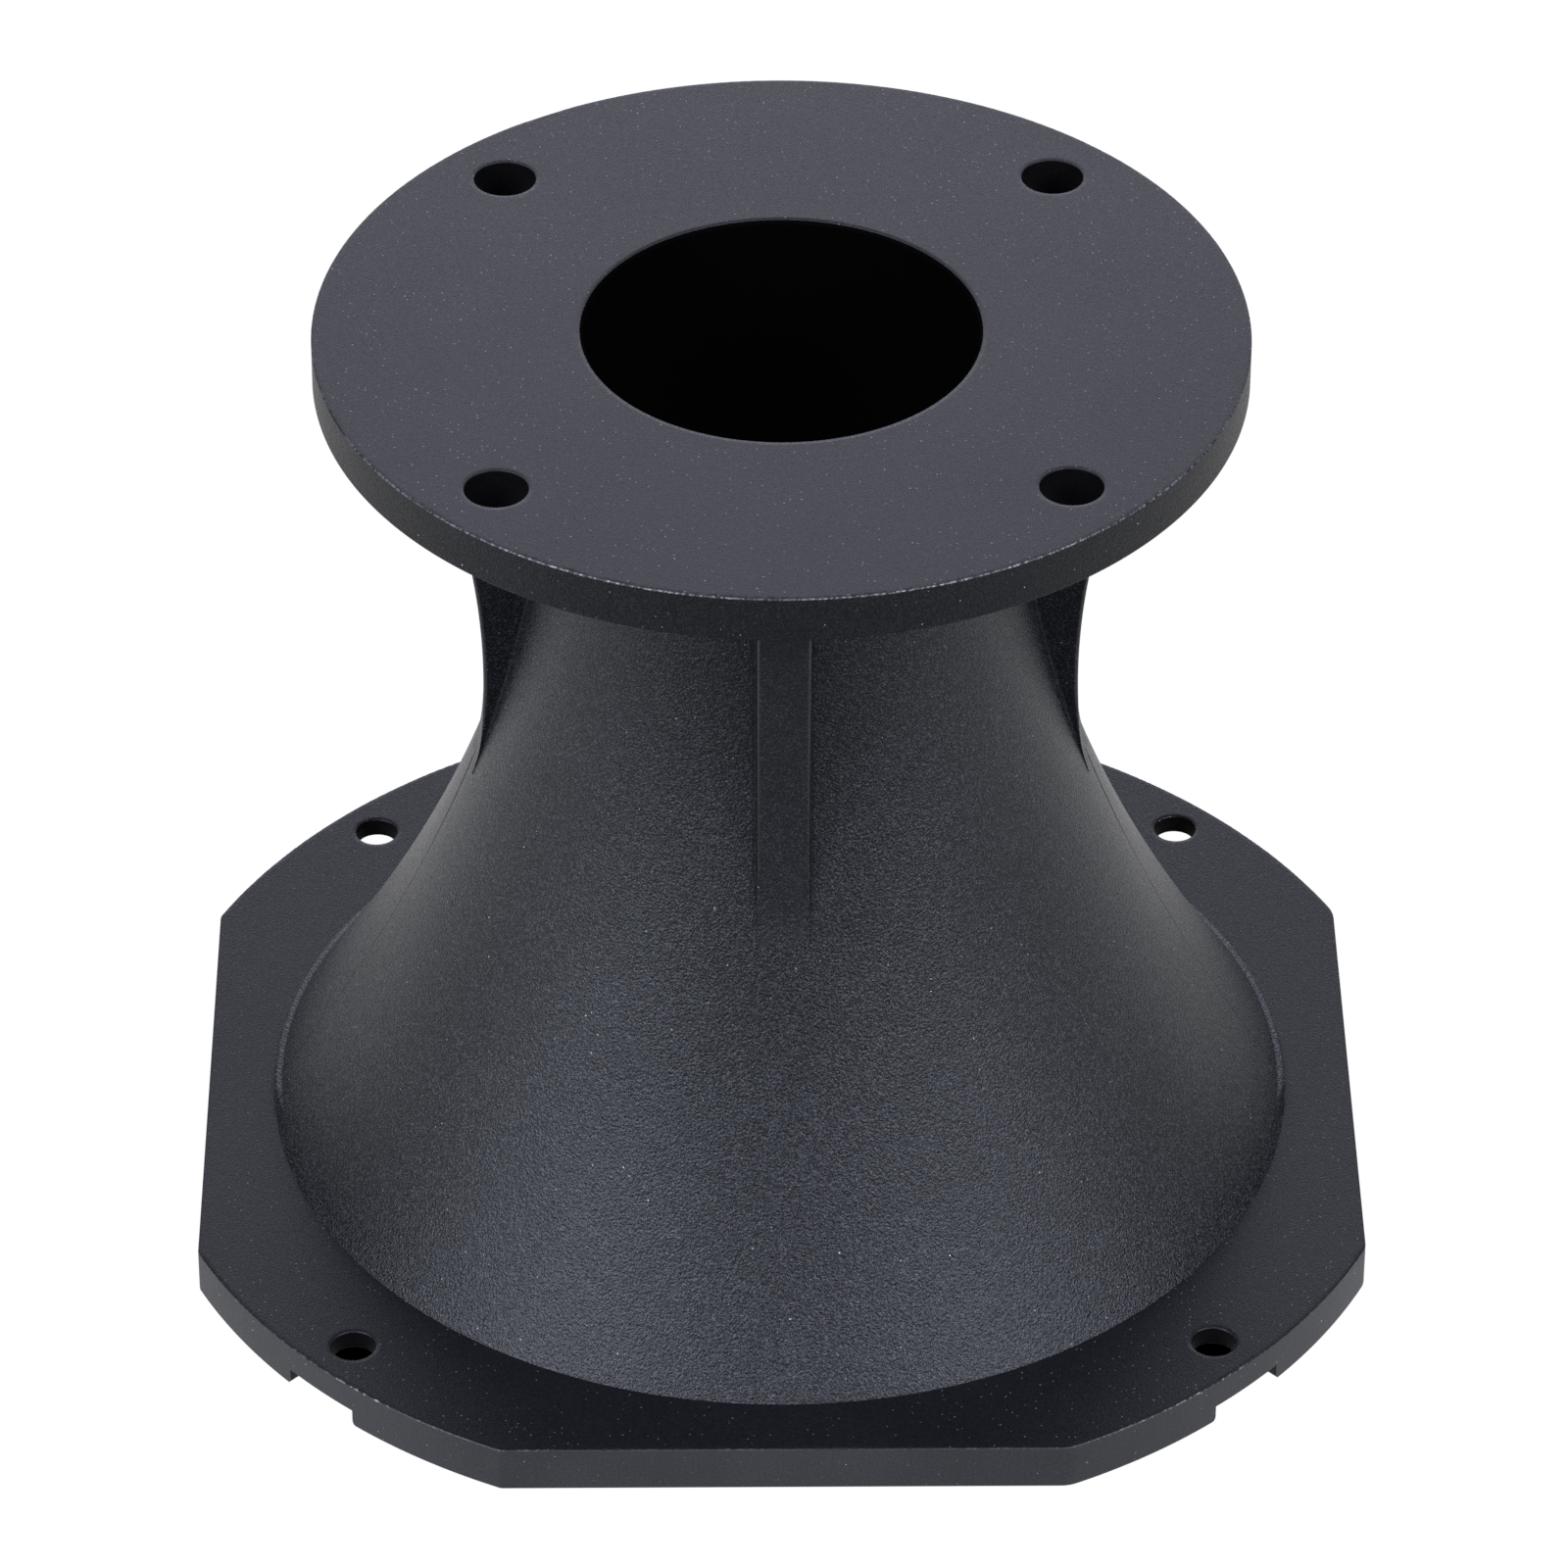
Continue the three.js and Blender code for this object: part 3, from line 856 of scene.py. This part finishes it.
def pale_floor():
    """White paper, evenly bright, with a painted shadow from about 3 mm inside the edge of the part."""
    mesh = bpy.data.meshes.new("studio_floor")
    corners = [(sx * FLOOR_HALF, sy * FLOOR_HALF, 0) for sx, sy in CORNERS]
    mesh.from_pydata(corners, [], [(0, 1, 2, 3)])
    material = bpy.data.materials.new("paper")
    material.use_nodes = True
    material.cycles.emission_sampling = "NONE"
    tree = material.node_tree
    tree.nodes.clear()
    where = tree.nodes.new("ShaderNodeTexCoord")
    split = tree.nodes.new("ShaderNodeSeparateXYZ")
    tree.links.new(where.outputs["Object"], split.inputs[0])
    x = math_node(tree, "ABSOLUTE", split.outputs["X"])
    y = math_node(tree, "ABSOLUTE", split.outputs["Y"])
    across = math_node(tree, "MAXIMUM", x, y)
    squares = [math_node(tree, "POWER", along, 2.0) for along in (x, y)]
    r = math_node(tree, "SQRT", math_node(tree, "ADD", *squares))
    past_arcs = ramp(tree, r, (PLATE_R - PAINTED_SHADOW_IN_ARC[1]) * MM, (PLATE_R - PAINTED_SHADOW_IN_ARC[0]) * MM)
    flat_shadow_whole, flat_shadow_start = (PLATE_HALF - PAINTED_SHADOW_IN_FLAT[1]) * MM, (PLATE_HALF - PAINTED_SHADOW_IN_FLAT[0]) * MM
    past_flats = ramp(tree, across, flat_shadow_whole, flat_shadow_start)
    fibres = noise(tree, where.outputs["Object"], 60.0, 4.0, 0.6)
    tint = mix_colour(tree, fibres, (0.99, 0.99, 0.99, 1.0), (1.02, 1.02, 1.02, 1.0))
    paper = tree.nodes.new("ShaderNodeEmission")
    # Painted shadow: the paper's glow fades to nothing under the part.
    strength = math_node(tree, "MAXIMUM", past_arcs, past_flats)
    link_all(tree, (tint, paper.inputs["Color"]), (strength, paper.inputs["Strength"]))
    # Only its top shows, so that the underside of the part can be looked at.
    side = tree.nodes.new("ShaderNodeNewGeometry")
    clear = tree.nodes.new("ShaderNodeBsdfTransparent")
    either = tree.nodes.new("ShaderNodeMixShader")
    out = tree.nodes.new("ShaderNodeOutputMaterial")
    link_all(
        tree,
        (side.outputs["Backfacing"], either.inputs[0]),
        (paper.outputs[0], either.inputs[1]),
        (clear.outputs[0], either.inputs[2]),
        (either.outputs[0], out.inputs["Surface"]),
    )
    mesh.materials.append(material)
    floor = bpy.data.objects.new("studio_floor", mesh)
    bpy.context.scene.collection.objects.link(floor)
    floor.visible_glossy = False
    floor.visible_diffuse = False


AIM = (0, 0, 0.06)
WHITE = (1.0, 1.0, 1.0)
COOL = (0.98, 0.98, 1.12)


def softbox(name, place, width, height, power, colour=WHITE):
    """A lamp of this size in metres and power in watts, turned to the middle of the part."""
    data = bpy.data.lights.new(name, "AREA")
    data.color = colour
    data.shape = "RECTANGLE"
    data.size = width
    data.size_y = height
    data.energy = power
    lamp = bpy.data.objects.new(name, data)
    bpy.context.scene.collection.objects.link(lamp)
    lamp.location = place
    lamp.rotation_euler = (Vector(AIM) - Vector(place)).to_track_quat("-Z", "Y").to_euler()


pale_floor()
softbox("back_box", (0, 2.5, 1.1), 2.6, 1.0, 23.7, COOL)
softbox("back_low", (0, 2.5, 0.6), 2.6, 0.6, 4.7, COOL)
softbox("left_front", (-1.6, -1.4, 1.2), 1.0, 1.0, 39.3, (0.98, 1.0, 1.0))
softbox("right_front", (1.6, -1.4, 1.2), 1.0, 1.0, 37.1, (1.0, 0.99, 0.98))
softbox("left_high", (-1.3, -0.9, 1.9), 0.9, 0.9, 32.0, (1.0, 0.98, 1.08))
softbox("right_high", (1.3, -0.9, 1.9), 0.9, 0.9, 26.0, (0.95, 1.0, 1.12))
softbox("left_low", (-2.2, -0.8, 0.35), 1.0, 0.5, 4.0)
softbox("front_box", (0, -2.2, 1.1), 1.0, 0.6, 4.2)


def studio_world(low_back, low_side, low_front, upper):
    """Light from below the horizon, strongest behind the part, and a dim room above. All are strengths."""
    world = bpy.data.worlds.new("studio")
    world.use_nodes = True
    tree = world.node_tree
    tree.nodes.clear()
    where = tree.nodes.new("ShaderNodeTexCoord")
    split = tree.nodes.new("ShaderNodeSeparateXYZ")
    tree.links.new(where.outputs["Generated"], split.inputs[0])
    below = ramp(tree, split.outputs["Z"], -0.12, 0.10, 1.0, 0.0)
    above = math_node(tree, "SUBTRACT", 1.0, below)
    behind = ramp(tree, split.outputs["Y"], 0.10, 0.50)
    ahead = ramp(tree, split.outputs["Y"], -0.15, -0.60)
    beside = math_node(tree, "SUBTRACT", math_node(tree, "SUBTRACT", 1.0, behind), ahead)
    shares = [
        (math_node(tree, "MULTIPLY", below, behind), low_back),
        (math_node(tree, "MULTIPLY", below, beside), low_side),
        (math_node(tree, "MULTIPLY", below, ahead), low_front),
        (above, upper),
    ]
    glows = []
    for share, strength in shares:
        glow = tree.nodes.new("ShaderNodeBackground")
        glow.inputs["Strength"].default_value = strength
        tree.links.new(share, glow.inputs["Color"])
        glows.append(glow.outputs[0])
    total = glows[0]
    for glow in glows[1:]:
        both = tree.nodes.new("ShaderNodeAddShader")
        link_all(tree, (total, both.inputs[0]), (glow, both.inputs[1]))
        total = both.outputs[0]
    out = tree.nodes.new("ShaderNodeOutputWorld")
    tree.links.new(total, out.inputs["Surface"])
    bpy.context.scene.world = world


studio_world(low_back=0.824, low_side=0.753, low_front=0.380, upper=0.126)
bpy.context.scene.view_settings.view_transform = "Standard"
bpy.context.scene.cycles.use_denoising = False

CAMERA_TARGET = Vector((0, 0, 0.064265))
CAMERA_DISTANCE = 1.18609
CAMERA_ELEVATION = math.radians(36.048)
CAMERA_TURN = math.radians(-0.613)
CAMERA_ROLL = math.radians(0.128)

camera_data = bpy.data.cameras.new("camera")
camera_data.sensor_width = 36
camera_data.lens = 205.95
camera_data.shift_x = 0.002266
camera_data.shift_y = -0.031594
camera_data.clip_start = 0.05
camera = bpy.data.objects.new("camera", camera_data)
bpy.context.scene.collection.objects.link(camera)
tilt = Matrix.Rotation(math.pi / 2 - CAMERA_ELEVATION, 4, "X")
turn = Matrix.Rotation(CAMERA_TURN, 4, "Z")
roll = Matrix.Rotation(CAMERA_ROLL, 4, "Z")
aimed = Matrix.Translation(CAMERA_TARGET)
back_off = Matrix.Translation((0, 0, CAMERA_DISTANCE))
camera.matrix_world = aimed @ turn @ tilt @ back_off @ roll
bpy.context.scene.camera = camera
